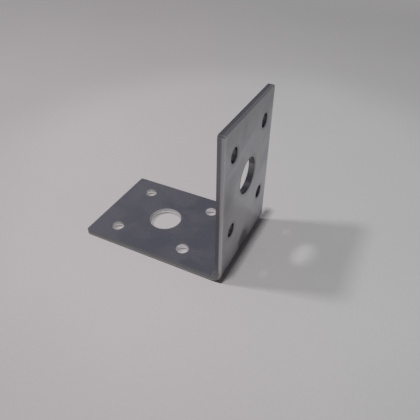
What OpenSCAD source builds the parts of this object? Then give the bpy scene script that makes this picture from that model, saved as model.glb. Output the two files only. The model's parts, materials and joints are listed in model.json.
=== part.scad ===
// Corner brace bracket: a strip of zinc-coated steel sheet, punched flat and folded once.
// The foot lies on the ground plane. The wall stands at its +X end, with its outer face to +X.
// The origin is on the underside, at the middle of the foot's length and width.

/* [Strip] */
// Width of the strip, along the fold
strip_w = 40; // [36:1:80]
// Thickness of the sheet
sheet_t = 2.5; // [1.5:0.25:4]

/* [Flanges] */
// Length of the foot, from its free end to the wall's outer face
foot_l = 60; // [54:1:120]
// Height of the wall, from the foot's underside to its free end
wall_h = 60; // [54:1:120]
// Radius of the strip's four corners
corner_r = 0.8; // [0.6:0.1:3]

/* [Fold] */
// Inside radius of the fold
fold_r = 2; // [1:0.25:5]

/* [Screw holes] */
// Diameter of the screw holes
screw_d = 5; // [3:0.5:7]
// Distance between a flange's two rows of screw holes
screw_pitch = 30; // [24:1:34]
// Distance between the two screw holes of a row, across the strip
screw_gauge = 25; // [20:1:27]
// Distance from a flange's free end to its first row of screw holes
screw_end = 10; // [6:0.5:13]

/* [Bolt hole] */
// Diameter of the bolt hole, in the middle of the four screw holes
bolt_d = 13; // [8:0.5:16]

/* [Edges] */
// Radius of the roll-over, where the punch pulled in the edges of the outer faces
rollover_r = 0.4; // [0.2:0.05:0.5]
// Radius of the deburred edges of the inner faces
deburr_r = 0.15; // [0.05:0.05:0.4]

/* [Hidden] */
$fn = 96;
// Outside radius of the fold
outer_fold_r = fold_r + sheet_t;
// How far a cutter reaches past the face that it cuts
overcut = 0.5;
zinc = [0.60, 0.61, 0.64];

// What rounding takes off a square edge, with the rounding's centre at the origin.
module edge_relief(radius) {
    difference() {
        square(radius + overcut);
        circle(radius);
    }
}

// Half of the sheet's section, from x = 0 to its edge. The outer face is at y = 0.
module half_section(reach) {
    difference() {
        square([reach, sheet_t]);
        translate([reach - rollover_r, rollover_r])
            mirror([0, 1])
                edge_relief(rollover_r);
        translate([reach - deburr_r, sheet_t - deburr_r])
            edge_relief(deburr_r);
    }
}

// The whole section, across the strip.
module strip_section() {
    for (side = [0, 1])
        mirror([side, 0])
            half_section(strip_w / 2);
}

// One flange without its holes: outer face down, free end to -X, other flange's outer face at x = 0.
module flange_blank(length) {
    corner_x = corner_r - length;
    translate([corner_x, 0, 0]) {
        rotate([90, 0, 90])
            linear_extrude(length - corner_r - outer_fold_r)
                strip_section();
        // The free end, between its two rounded corners
        translate([0, strip_w / 2 - corner_r, 0])
            rotate([90, 0, 0])
                linear_extrude(strip_w - 2 * corner_r)
                    mirror([1, 0])
                        half_section(corner_r);
        for (side = [0, 1])
            mirror([0, side, 0])
                translate([0, strip_w / 2 - corner_r, 0])
                    rotate(90)
                        rotate_extrude(angle = 90)
                            half_section(corner_r);
    }
}

// A quarter turn of the strip's section about the fold's axis.
module fold() {
    translate([-outer_fold_r, 0, outer_fold_r])
        rotate([-90, 0, 0])
            rotate_extrude(angle = 90)
                translate([outer_fold_r, 0])
                    rotate(90)
                        strip_section();
}

// A punched hole, with the sheet's outer face at z = 0.
module punched_hole(diameter) {
    radius = diameter / 2;
    translate([0, 0, -overcut])
        cylinder(r = radius, h = sheet_t + 2 * overcut);
    rotate_extrude() {
        translate([radius + rollover_r, rollover_r])
            rotate(180)
                edge_relief(rollover_r);
        translate([radius + deburr_r, sheet_t - deburr_r])
            mirror([1, 0])
                edge_relief(deburr_r);
    }
}

// One flange's holes: four for screws, with one for a bolt in their middle.
module flange_holes(length) {
    translate([screw_end + screw_pitch / 2 - length, 0, 0]) {
        punched_hole(bolt_d);
        for (row = [-1, 1], side = [-1, 1])
            translate([row * screw_pitch / 2, side * screw_gauge / 2, 0])
                punched_hole(screw_d);
    }
}

// Swaps the foot's directions for the wall's, so that each child stands up from the fold.
module as_wall() {
    mirror([1, 0, 1])
        children();
}

module bracket() {
    color(zinc)
        translate([foot_l / 2, 0, 0])
            difference() {
                union() {
                    flange_blank(foot_l);
                    fold();
                    as_wall()
                        flange_blank(wall_h);
                }
                flange_holes(foot_l);
                as_wall()
                    flange_holes(wall_h);
            }
}

bracket();
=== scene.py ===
import json
import math

import bpy
from mathutils import Matrix, Vector


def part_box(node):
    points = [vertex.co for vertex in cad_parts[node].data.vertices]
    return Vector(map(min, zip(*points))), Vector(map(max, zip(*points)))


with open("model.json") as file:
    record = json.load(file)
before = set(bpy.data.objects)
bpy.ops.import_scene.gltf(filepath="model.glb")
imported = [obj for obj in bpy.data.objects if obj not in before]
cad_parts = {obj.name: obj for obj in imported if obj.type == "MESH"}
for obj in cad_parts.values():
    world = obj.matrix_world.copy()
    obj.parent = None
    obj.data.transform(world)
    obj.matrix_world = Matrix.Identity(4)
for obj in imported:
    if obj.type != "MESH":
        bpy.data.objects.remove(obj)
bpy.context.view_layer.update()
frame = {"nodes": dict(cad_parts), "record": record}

BRACKET = frame["nodes"]["bracket"]

# The bracket's sizes in millimetres, read from the frame and from its mounts. A bolt hole lies
# BOLT_AT from the fold's outer corner, and each screw hole lies SCREW_AT from the bolt hole.
MM_PER_METRE = 1000.0
MOUNTS = {mount["name"]: mount for mount in frame["record"]["mounts"]}
LOWEST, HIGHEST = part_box("bracket")
WALL_OUTER_X = HIGHEST.x * MM_PER_METRE
FLANGE = (HIGHEST.x - LOWEST.x) * MM_PER_METRE
HALF_WIDTH = HIGHEST.y * MM_PER_METRE
BOLT_AT = MOUNTS["wall_bolt_hole"]["pos_m"][2] * MM_PER_METRE
BOLT_R = MOUNTS["foot_bolt_hole"]["dims"]["r_mm"]
SCREWS = MOUNTS["foot_screw_holes"]["dims"]
SCREW_R = SCREWS["hole_r_mm"]
SCREW_AT = (SCREWS["spacing_x_mm"] / 2, SCREWS["spacing_y_mm"] / 2)

# The camera, from a fit of the bracket's edges and holes to the photograph.
# The lens is in millimetres, the angles are in degrees, and the rest is in metres.
LENS = 36.75
CAMERA_AZIMUTH = 26.35
CAMERA_ELEVATION = 39.28
CAMERA_ROLL = -0.35
CAMERA_DISTANCE = 0.1869
CAMERA_TARGET = Vector((0.00769, 0.01598, 0.0))

# The table, in metres: half its side, its gap under the foot, the middle of the pool of light painted
# round the bracket, and the direction in which it turns from warm to cool.
TABLE_HALF = 2.5
TABLE_GAP = 0.00002
LIGHT_POOL_MIDDLE = (0.01, 0.05, 0.0)
TABLE_COOLS_TOWARDS = (0.896, 0.444, 0.0)

# How dense each pattern is, per millimetre along the strip, across it and into the sheet.
EVEN_PATTERN = (1.0, 1.0, 3.0)
GRAIN_PATTERN = (0.12, 5.0, 1.0)
CRAZE_PATTERN = (6.0, 0.5, 1.0)
STREAK_PATTERN = (4.0, 4.0, 0.35)

# The hairline scratches: the angle to the strip in degrees, the length and the spacing in
# millimetres, and the level that the noise has to pass, so a higher one gives fewer scratches.
SCRATCH_SETS = ((8, 14, 0.22, 0.70), (-31, 9, 0.2, 0.73), (64, 7, 0.2, 0.74))
SCRATCH_SOFTNESS = 0.05
SCRATCH_STRENGTH = 0.35

# A patch of painted shade on the fold's outer side, in millimetres: its middle along and across the
# strip, the distances from it at which the patch starts to fade and ends, and how far these waver. It is
# longer along the strip than across, by the stretch.
SHADE_PATCH_AT = (5.5, -1.0)
SHADE_PATCH_FADES = 2.6
SHADE_PATCH_ENDS = 6.4
SHADE_PATCH_WAVER = 4.0
SHADE_PATCH_STRETCH = 1.25
SHADE_PATCH_STRENGTH = 0.95

# The faces' look gives way to that of a cut over this distance, in millimetres.
FACE_TO_CUT = 0.08

# A cut turns from smooth to torn over this span of its depth, after a waver is added to the depth.
TORN_BAND_START = (1.30, 1.55)
TORN_BAND_WAVER = 0.7

# Heights and depths of the relief in millimetres.
GRAIN_HEIGHT = 0.012
SPECK_HEIGHT = 0.008
SCRATCH_DEPTH = 0.006
CRAZE_HEIGHT = 0.02
STREAK_HEIGHT = 0.03
TEAR_HEIGHT = 0.04
HOLE_STREAK_HEIGHT = 0.012

# Roughness. A pair goes from the low end of its pattern to the high end.
COAT_ROUGHNESS = (0.19, 0.25)
GRAIN_ROUGHNESS = (-0.02, 0.04)
CRAZE_ROUGHNESS = 0.12
CUT_ROUGHNESS = (0.30, 0.50)
HOLE_ROUGHNESS = (0.04, 0.12)
WALL_HOLE_ROUGHNESS = 0.2
TABLE_ROUGHNESS = 0.75

# Colours of the metal. A pair goes from the low end of its pattern to the high end.
CLOUD_COLOURS = (0.46, 0.465, 0.50), (0.56, 0.555, 0.56)
SPECK_COLOUR = (0.38, 0.385, 0.41)
# Lighter tone: painted light low on the wall, and lighter towards the foot's free end.
LIGHT_TONE_AND_PAINTED_LIGHT = (0.72, 0.72, 0.72)
# Darker tone: painted shade round the fold, and darker at the wall's top, along its near side and round
# its holes.
DARK_TONE_AND_PAINTED_SHADE = (0.172, 0.146, 0.149)
# The colour of the patch of painted shade on the fold.
SHADE_PATCH_COLOUR = (0.06, 0.05, 0.05)
# Rubbed metal in the scratches, and the painted highlight along the wall's sides.
SCRATCHES_AND_HIGHLIGHT = (0.68, 0.69, 0.70)
# Paler worn metal at the faces' edges, and painted light on the cut edges by the fold.
WEAR_AND_PAINTED_LIGHT = (0.62, 0.63, 0.64)
SMOOTH_CUT = (0.22, 0.222, 0.23), (0.31, 0.31, 0.315)
TORN_CUT = (0.12, 0.12, 0.125), (0.21, 0.21, 0.215)
# The foot's hole walls are painted bright, as a painted reflection of the lit table under them.
FOOT_HOLE_LIT_SMOOTH = (0.90, 0.90, 0.91), (0.97, 0.97, 0.98)
FOOT_HOLE_LIT_TORN = (0.44, 0.44, 0.45), (0.58, 0.58, 0.59)
FOOT_HOLE_LIT_BY_FOLD = (0.90, 0.90, 0.92)
# The wall's hole walls are painted dark, as painted shade.
WALL_HOLE = (0.15, 0.15, 0.16), (0.24, 0.24, 0.25)
WALL_BOLT_TOP = (0.62, 0.62, 0.63)
GRAZING_TINT = (0.80, 0.80, 0.81)

# Colours of the table. A pair goes from the low end of its pattern to the high end.
WARM_TABLE = (0.460, 0.434, 0.440), (0.486, 0.459, 0.464)
COOL_TABLE = (0.447, 0.444, 0.443), (0.472, 0.469, 0.467)
# The table's colour beyond the painted pool of light.
TABLE_BEYOND_LIGHT_POOL = (0.35, 0.33, 0.34)

# Colours of the room: the light it gives to dull surfaces, what the metal mirrors at the horizon,
# higher up and overhead, and what stands behind the table.
ROOM_LIGHT = (0.10, 0.102, 0.108)
HORIZON = (0.34, 0.335, 0.33)
UPPER_ROOM = (0.171, 0.169, 0.200)
CEILING = (0.60, 0.60, 0.61)
BACKGROUND = (0.37, 0.36, 0.36)


class Nodes:
    """Short ways to write the nodes of one material or of the world."""

    def __init__(self, tree):
        self.tree = tree
        tree.nodes.clear()

    def feed(self, socket, value):
        """Links a socket, or sets it. A colour is given as red, green and blue."""
        if isinstance(value, bpy.types.NodeSocket):
            self.tree.links.new(value, socket)
        elif socket.type == "RGBA":
            socket.default_value = (*value, 1.0)
        else:
            socket.default_value = value

    def node(self, kind, inputs=None, **settings):
        """A new node, with its inputs fed by name or by number."""
        node = self.tree.nodes.new(kind)
        for name, value in settings.items():
            setattr(node, name, value)
        for key, value in (inputs or {}).items():
            self.feed(node.inputs[key], value)
        return node

    def add(self, kind, inputs=None, output=0, **settings):
        """One output of a new node."""
        return self.node(kind, inputs, **settings).outputs[output]

    def math(self, operation, *values):
        return self.add("ShaderNodeMath", dict(enumerate(values)), operation=operation)

    def combine(self, operation, first, *others):
        """One operation between all the values, from left to right."""
        for other in others:
            first = self.math(operation, first, other)
        return first

    def plus(self, *values):
        return self.combine("ADD", *values)

    def minus(self, first, second):
        return self.math("SUBTRACT", first, second)

    def times(self, *values):
        return self.combine("MULTIPLY", *values)

    def ramp(self, value, low, high, start, end):
        """Goes smoothly from start to end while the value goes from low to high."""
        inputs = {0: value, 1: low, 2: high, 3: start, 4: end}
        return self.add("ShaderNodeMapRange", inputs, interpolation_type="SMOOTHSTEP")

    def rise(self, value, low, high, top=1.0):
        """Goes from 0 to top while the value goes from low to high."""
        return self.ramp(value, low, high, 0.0, top)

    def fall(self, value, low, high, top=1.0):
        """Goes from top to 0 while the value goes from low to high."""
        return self.ramp(value, low, high, top, 0.0)

    def mix(self, factor, first, second):
        """A mix of two colours."""
        inputs = {0: factor, 6: first, 7: second}
        return self.add("ShaderNodeMix", inputs, output=2, data_type="RGBA")

    def blend(self, factor, first, second):
        """A mix of two plain numbers."""
        return self.add("ShaderNodeMix", {0: factor, 2: first, 3: second})

    def vector(self, x, y, z):
        return self.add("ShaderNodeCombineXYZ", {0: x, 1: y, 2: z})

    def measure(self, operation, *vectors):
        """The result of a vector operation that gives one number."""
        return self.add("ShaderNodeVectorMath", dict(enumerate(vectors)), output=1, operation=operation)

    def noise(self, vector, scale, detail=2.0, roughness=0.5, distortion=0.0):
        inputs = {"Vector": vector, "Scale": scale, "Detail": detail, "Roughness": roughness}
        inputs["Distortion"] = distortion
        return self.add("ShaderNodeTexNoise", inputs)


def new_material(name):
    material = bpy.data.materials.new(name)
    material.use_nodes = True
    return material, Nodes(material.node_tree)


def distance_from(n, first, second, centre):
    """Distance on the flat from a centre, of a point with two coordinates."""
    x = n.minus(first, centre[0])
    y = n.minus(second, centre[1])
    return n.math("SQRT", n.plus(n.times(x, x), n.times(y, y)))


class Places:
    """Where a point lies on the folded sheet, in millimetres. Every pattern is laid out by these.

    along: distance from the fold's outer corner, the same on both flanges
    depth: distance under the outer face
    strip: distance along the strip from the fold, negative on the foot and positive on the wall
    across: distance from the strip's middle line, negative on the side nearest to the camera
    from_middle: the same distance without its sign
    side, end: distances from the strip's nearest side and from its free end
    bolt, hole: distances from the bolt hole and from the nearest hole of any kind
    edge: distance from the nearest of all these cuts
    outer_side: 1 at the outer faces and 0 at the inner ones
    above_fold: 0 on the foot, and rising to 1 where the wall leaves the fold
    """

    def __init__(self, n):
        place = n.add("ShaderNodeTexCoord", output="Object")
        scaled = n.add("ShaderNodeVectorMath", {0: place, "Scale": MM_PER_METRE}, operation="SCALE")
        x, y, z = n.node("ShaderNodeSeparateXYZ", {0: scaled}).outputs
        inward = n.minus(WALL_OUTER_X, x)
        self.along = n.math("MAXIMUM", inward, z)
        self.depth = n.math("MINIMUM", inward, z)
        self.strip = n.minus(z, inward)
        self.across = y
        self.from_middle = n.math("ABSOLUTE", y)
        self.outer_side = n.fall(self.depth, 0.6, 1.4)
        self.above_fold = n.rise(self.strip, 3.0, 7.0)
        self.measure_cuts(n)

    def measure_cuts(self, n):
        from_bolt = n.math("ABSOLUTE", n.minus(self.along, BOLT_AT))
        self.bolt = n.minus(distance_from(n, from_bolt, self.from_middle, (0.0, 0.0)), BOLT_R)
        screw = n.minus(distance_from(n, from_bolt, self.from_middle, SCREW_AT), SCREW_R)
        self.hole = n.math("MINIMUM", self.bolt, screw)
        self.side = n.minus(HALF_WIDTH, self.from_middle)
        self.end = n.minus(FLANGE, self.along)
        self.edge = n.combine("MINIMUM", self.hole, self.side, self.end)


def sheet_noise(n, places, pattern, scale, **settings):
    """Noise on the sheet, stretched as one of the named patterns says."""
    strip, across, depth = pattern
    stretched = n.vector(
        n.times(places.strip, strip),
        n.times(places.across, across),
        n.times(places.depth, depth),
    )
    return n.noise(stretched, scale, **settings)


def hairlines(n, places, angle, length, spacing, level):
    """One set of sparse scratches at an angle to the strip."""
    cosine = math.cos(math.radians(angle))
    sine = math.sin(math.radians(angle))
    ahead = n.plus(n.times(places.strip, cosine), n.times(places.across, sine))
    aside = n.minus(n.times(places.across, cosine), n.times(places.strip, sine))
    place = n.vector(n.math("DIVIDE", ahead, length), n.math("DIVIDE", aside, spacing), angle)
    return n.rise(n.noise(place, 1.0, detail=1.0), level, level + SCRATCH_SOFTNESS)


def fold_crazing(n, places):
    """Fine cracks in the coat on the fold's outer side, where the fold stretched it."""
    stretched = n.times(n.fall(n.math("ABSOLUTE", places.strip), 2.5, 5.0), places.outer_side)
    return n.times(sheet_noise(n, places, CRAZE_PATTERN, 1.0, detail=3.0, roughness=0.6), stretched)


def fold_shade_patch(n, places):
    """Painted shade: a dark patch on the fold's outer side, near the middle of the strip's width."""
    shortened = n.times(places.strip, 1.0 / SHADE_PATCH_STRETCH)
    away = distance_from(n, shortened, places.across, (SHADE_PATCH_AT[0] / SHADE_PATCH_STRETCH, SHADE_PATCH_AT[1]))
    ragged = n.noise(n.vector(places.strip, places.across, 0.0), 0.5)
    away = n.plus(away, n.times(n.minus(ragged, 0.5), SHADE_PATCH_WAVER))
    return n.times(n.fall(away, SHADE_PATCH_FADES, SHADE_PATCH_ENDS, top=SHADE_PATCH_STRENGTH), places.outer_side)


def uneven_tone_and_shade(n, places, base):
    """Slow changes of tone along the strip, whose spans are in millimetres.

    Low on the wall it is painted lighter, as painted light where the wall mirrors the shaded table, and
    it is lighter towards the foot's free end. Round the fold's outer side it is darkened as painted
    shade, and it is darker at the wall's top and along the wall's near side.
    """
    strip = places.strip
    # Painted light low on the wall, where it mirrors the shaded table.
    painted_light_low = n.times(n.rise(strip, 12.0, 22.0), n.fall(strip, 24.0, 36.0, top=0.32))
    foot_end = n.fall(strip, -60.0, -20.0, top=0.4)
    base = n.mix(n.plus(painted_light_low, foot_end), base, LIGHT_TONE_AND_PAINTED_LIGHT)
    # Painted shade round the fold's outer side. The wall is also darker along its near side and at its
    # top.
    fold_painted_shade = n.times(n.fall(n.math("ABSOLUTE", strip), 2.5, 13.0, top=0.6), places.outer_side)
    middle_wall = n.times(n.rise(strip, 12.0, 20.0), n.fall(strip, 40.0, 50.0))
    near_side = n.times(n.fall(places.across, -18.0, -8.0, top=0.22), places.outer_side, middle_wall)
    wall_top = n.rise(strip, 48.0, 58.0, top=0.3)
    return n.mix(n.plus(fold_painted_shade, near_side, wall_top), base, DARK_TONE_AND_PAINTED_SHADE)


def coated_face(n, places):
    """The sheet's faces: rolling grain along the strip, clouds in the coat, hairline scratches."""
    grain = sheet_noise(n, places, GRAIN_PATTERN, 1.0, detail=4.0, roughness=0.6)
    clouds = sheet_noise(n, places, EVEN_PATTERN, 0.09, detail=5.0, roughness=0.55, distortion=0.6)
    specks = sheet_noise(n, places, EVEN_PATTERN, 1.3, detail=3.0, roughness=0.65)
    scratches = n.combine("MAXIMUM", *(hairlines(n, places, *row) for row in SCRATCH_SETS))
    crazing = fold_crazing(n, places)

    base = n.mix(n.rise(clouds, 0.4, 0.6), *CLOUD_COLOURS)
    base = n.mix(n.rise(specks, 0.35, 0.75, top=0.35), base, SPECK_COLOUR)
    base = uneven_tone_and_shade(n, places, base)
    base = n.mix(fold_shade_patch(n, places), base, SHADE_PATCH_COLOUR)
    base = n.mix(n.times(scratches, SCRATCH_STRENGTH), base, SCRATCHES_AND_HIGHLIGHT)

    rough = n.ramp(clouds, 0.3, 0.7, *COAT_ROUGHNESS)
    rough = n.plus(rough, n.ramp(grain, 0.3, 0.7, *GRAIN_ROUGHNESS), n.times(crazing, CRAZE_ROUGHNESS))
    height = n.plus(
        n.times(grain, GRAIN_HEIGHT),
        n.times(specks, SPECK_HEIGHT),
        n.times(scratches, -SCRATCH_DEPTH),
        n.times(crazing, CRAZE_HEIGHT),
    )
    return base, rough, height


def edge_wear_and_highlight(n, places, base):
    """The faces beside the cuts: paler at all of them, with a painted highlight along the wall's sides
    on its outer face, and darker round the wall's holes.
    """
    base = n.mix(n.fall(places.edge, 0.1, 0.9, top=0.15), base, WEAR_AND_PAINTED_LIGHT)
    # Painted highlight along the wall's sides, on the outer face.
    side_highlight = n.times(n.fall(places.side, 0.4, 1.8, top=0.34), places.above_fold, places.outer_side)
    base = n.mix(side_highlight, base, SCRATCHES_AND_HIGHLIGHT)
    rim = n.times(n.fall(places.hole, 0.2, 1.8, top=0.36), n.rise(places.strip, 3.0, 6.0))
    return n.mix(rim, base, DARK_TONE_AND_PAINTED_SHADE)


def cut_bands(n, places):
    """The streaks on every cut, and where its smooth band gives way to the torn one."""
    streaks = sheet_noise(n, places, STREAK_PATTERN, 1.0, detail=3.0, roughness=0.6)
    waver = sheet_noise(n, places, EVEN_PATTERN, 0.8)
    torn = n.rise(n.plus(places.depth, n.times(waver, TORN_BAND_WAVER)), *TORN_BAND_START)
    return streaks, torn


def cut_edge(n, places, streaks, torn):
    """The strip's cut edges. On the foot and just above the fold they are painted lighter, as painted
    light where they mirror the shade by the fold, and they are lighter high on the wall and at its top.
    On the wall the band by the outer face is lighter, most of all low down.
    """
    strip = places.strip
    tears = sheet_noise(n, places, EVEN_PATTERN, 5.0, detail=4.0, roughness=0.7)
    base = n.mix(torn, n.mix(streaks, *SMOOTH_CUT), n.mix(tears, *TORN_CUT))
    up_wall = n.times(places.above_fold, n.ramp(strip, 14.0, 45.0, 0.70, 0.34))
    by_outer_face = n.times(up_wall, n.fall(places.depth, 0.6, 1.5))
    # Painted light on the cut edges of the foot and up to 8 mm above the fold, where they mirror shade.
    light_by_fold = n.fall(strip, 0.0, 8.0, top=0.22)
    high_wall = n.rise(strip, 25.0, 45.0, top=0.20)
    wall_top = n.times(n.fall(places.end, 0.2, 1.0, top=0.2), n.rise(strip, 0.0, 1.0))
    base = n.mix(n.plus(by_outer_face, light_by_fold, high_wall, wall_top), base, WEAR_AND_PAINTED_LIGHT)
    height = n.plus(n.times(streaks, STREAK_HEIGHT), n.times(tears, TEAR_HEIGHT))
    return base, n.blend(torn, *CUT_ROUGHNESS), height


def hole_wall(n, places, streaks, torn):
    """The holes' walls. In the foot they are painted bright, as a painted reflection of the lit table
    under them; in the wall they are painted dark, as painted shade, and lighter at the top of the bolt
    hole.
    """
    # Painted reflection: the foot's hole walls are painted bright, brighter near the fold.
    torn_hole = n.mix(streaks, *FOOT_HOLE_LIT_TORN)
    torn_hole = n.mix(n.rise(places.strip, -40.0, -28.0, top=0.7), torn_hole, FOOT_HOLE_LIT_BY_FOLD)
    lit_foot_hole = n.mix(torn, n.mix(streaks, *FOOT_HOLE_LIT_SMOOTH), torn_hole)
    bolt_top = n.times(n.fall(places.bolt, 0.5, 1.0), n.rise(places.along, 33.0, 40.0), 0.6)
    # Painted shade: the wall's hole walls are dark, lighter at the top of the bolt hole.
    shaded_wall_hole = n.mix(bolt_top, n.mix(streaks, *WALL_HOLE), WALL_BOLT_TOP)
    on_wall = n.rise(places.strip, -3.0, 3.0)
    rough = n.plus(n.blend(streaks, *HOLE_ROUGHNESS), n.times(on_wall, WALL_HOLE_ROUGHNESS))
    return n.mix(on_wall, lit_foot_hole, shaded_wall_hole), rough, n.times(streaks, HOLE_STREAK_HEIGHT)


def zinc_coated_steel():
    material, n = new_material("zinc_coated_steel")
    places = Places(n)
    streaks, torn = cut_bands(n, places)
    base, rough, height = coated_face(n, places)
    base = edge_wear_and_highlight(n, places, base)
    for distance, cut in (
        (places.edge, cut_edge(n, places, streaks, torn)),
        (places.hole, hole_wall(n, places, streaks, torn)),
    ):
        is_cut = n.fall(distance, 0.0, FACE_TO_CUT)
        base = n.mix(is_cut, base, cut[0])
        rough = n.blend(is_cut, rough, cut[1])
        height = n.blend(is_cut, height, cut[2])
    relief = n.add("ShaderNodeBump", {"Height": height, "Distance": 1.0 / MM_PER_METRE, "Strength": 1.0})
    metal = {"Metallic": 1.0, "Specular Tint": GRAZING_TINT}
    surface = {"Base Color": base, "Roughness": rough, "Normal": relief}
    shader = n.add("ShaderNodeBsdfPrincipled", {**metal, **surface})
    n.node("ShaderNodeOutputMaterial", {"Surface": shader})
    return material


def table_top():
    """The pale table, with a pool of light painted round the bracket so that it is darker away from it,
    and faded out far from it.
    """
    material, n = new_material("pale_table")
    place = n.add("ShaderNodeTexCoord", output="Object")
    clouds = n.noise(place, 9.0, detail=3.0)
    grit = n.noise(place, 900.0)
    shade = n.rise(n.plus(n.times(clouds, 0.6), n.times(grit, 0.4)), 0.3, 0.7)
    cooler = n.rise(n.measure("DOT_PRODUCT", place, TABLE_COOLS_TOWARDS), 0.0, 0.08)
    base = n.mix(cooler, n.mix(shade, *WARM_TABLE), n.mix(shade, *COOL_TABLE))
    # Painted light: a pool of light round the bracket's middle, darker further off.
    aside = n.rise(n.measure("DISTANCE", place, LIGHT_POOL_MIDDLE), 0.09, 0.16, top=0.4)
    base = n.mix(aside, base, TABLE_BEYOND_LIGHT_POOL)
    solid = n.add("ShaderNodeBsdfPrincipled", {"Base Color": base, "Roughness": TABLE_ROUGHNESS})
    clear = n.add("ShaderNodeBsdfTransparent")
    far = n.rise(n.measure("LENGTH", place), 0.27, 0.6)
    faded = n.add("ShaderNodeMixShader", {0: far, 1: solid, 2: clear})
    n.node("ShaderNodeOutputMaterial", {"Surface": faded})
    return material


def make_floor():
    half = TABLE_HALF
    mesh = bpy.data.meshes.new("floor")
    corners = [(-half, -half, 0), (half, -half, 0), (half, half, 0), (-half, half, 0)]
    mesh.from_pydata(corners, [], [(0, 1, 2, 3)])
    mesh.materials.append(table_top())
    floor = bpy.data.objects.new("floor", mesh)
    floor.location.z = -TABLE_GAP
    bpy.context.scene.collection.objects.link(floor)


def make_world():
    """A dim room, the room that the metal mirrors, and a pale background for the camera."""
    world = bpy.data.worlds.new("studio")
    world.use_nodes = True
    bpy.context.scene.world = world
    n = Nodes(world.node_tree)
    towards = n.add("ShaderNodeTexCoord", output="Generated")
    up = n.measure("DOT_PRODUCT", towards, (0.0, 0.0, 1.0))
    mirrored = n.mix(n.rise(up, 0.15, 0.5), HORIZON, UPPER_ROOM)
    mirrored = n.mix(n.rise(up, 0.90, 0.99), mirrored, CEILING)
    ray = n.node("ShaderNodeLightPath").outputs
    shown = n.mix(ray["Is Glossy Ray"], ROOM_LIGHT, mirrored)
    shown = n.mix(ray["Is Camera Ray"], shown, BACKGROUND)
    background = n.add("ShaderNodeBackground", {"Color": shown, "Strength": 1.0})
    n.node("ShaderNodeOutputWorld", {"Surface": background})


def add_lamp(name, place, size, power):
    """A square lamp that faces the origin. It throws the shadows, and the metal doesn't mirror it."""
    lamp = bpy.data.lights.new(name, "AREA")
    lamp.size = size
    lamp.energy = power
    holder = bpy.data.objects.new(name, lamp)
    holder.location = place
    holder.rotation_euler = Vector(place).to_track_quat("Z", "Y").to_euler()
    holder.visible_glossy = False
    bpy.context.scene.collection.objects.link(holder)


def make_lights():
    """A lamp overhead and a weaker one beyond the foot's free end, in metres and watts."""
    add_lamp("ceiling_lamp", place=(0.005, -0.096, 0.89), size=0.05, power=5.05)
    add_lamp("side_lamp", place=(-0.449, -0.168, 0.757), size=0.085, power=2.55)


def make_camera():
    azimuth = math.radians(CAMERA_AZIMUTH)
    elevation = math.radians(CAMERA_ELEVATION)
    back = Vector((
        math.sin(azimuth) * math.cos(elevation),
        -math.cos(azimuth) * math.cos(elevation),
        math.sin(elevation),
    ))
    camera = bpy.data.cameras.new("camera")
    camera.lens = LENS
    camera.clip_start = 0.01
    holder = bpy.data.objects.new("camera", camera)
    turn = (-back).to_track_quat("-Z", "Y").to_matrix().to_4x4()
    roll = Matrix.Rotation(math.radians(-CAMERA_ROLL), 4, "Z")
    place = Matrix.Translation(CAMERA_TARGET + back * CAMERA_DISTANCE)
    holder.matrix_world = place @ turn @ roll
    bpy.context.scene.collection.objects.link(holder)
    bpy.context.scene.camera = holder


BRACKET.data.materials.clear()
BRACKET.data.materials.append(zinc_coated_steel())
make_floor()
make_world()
make_lights()
make_camera()
bpy.context.scene.view_settings.view_transform = "Standard"
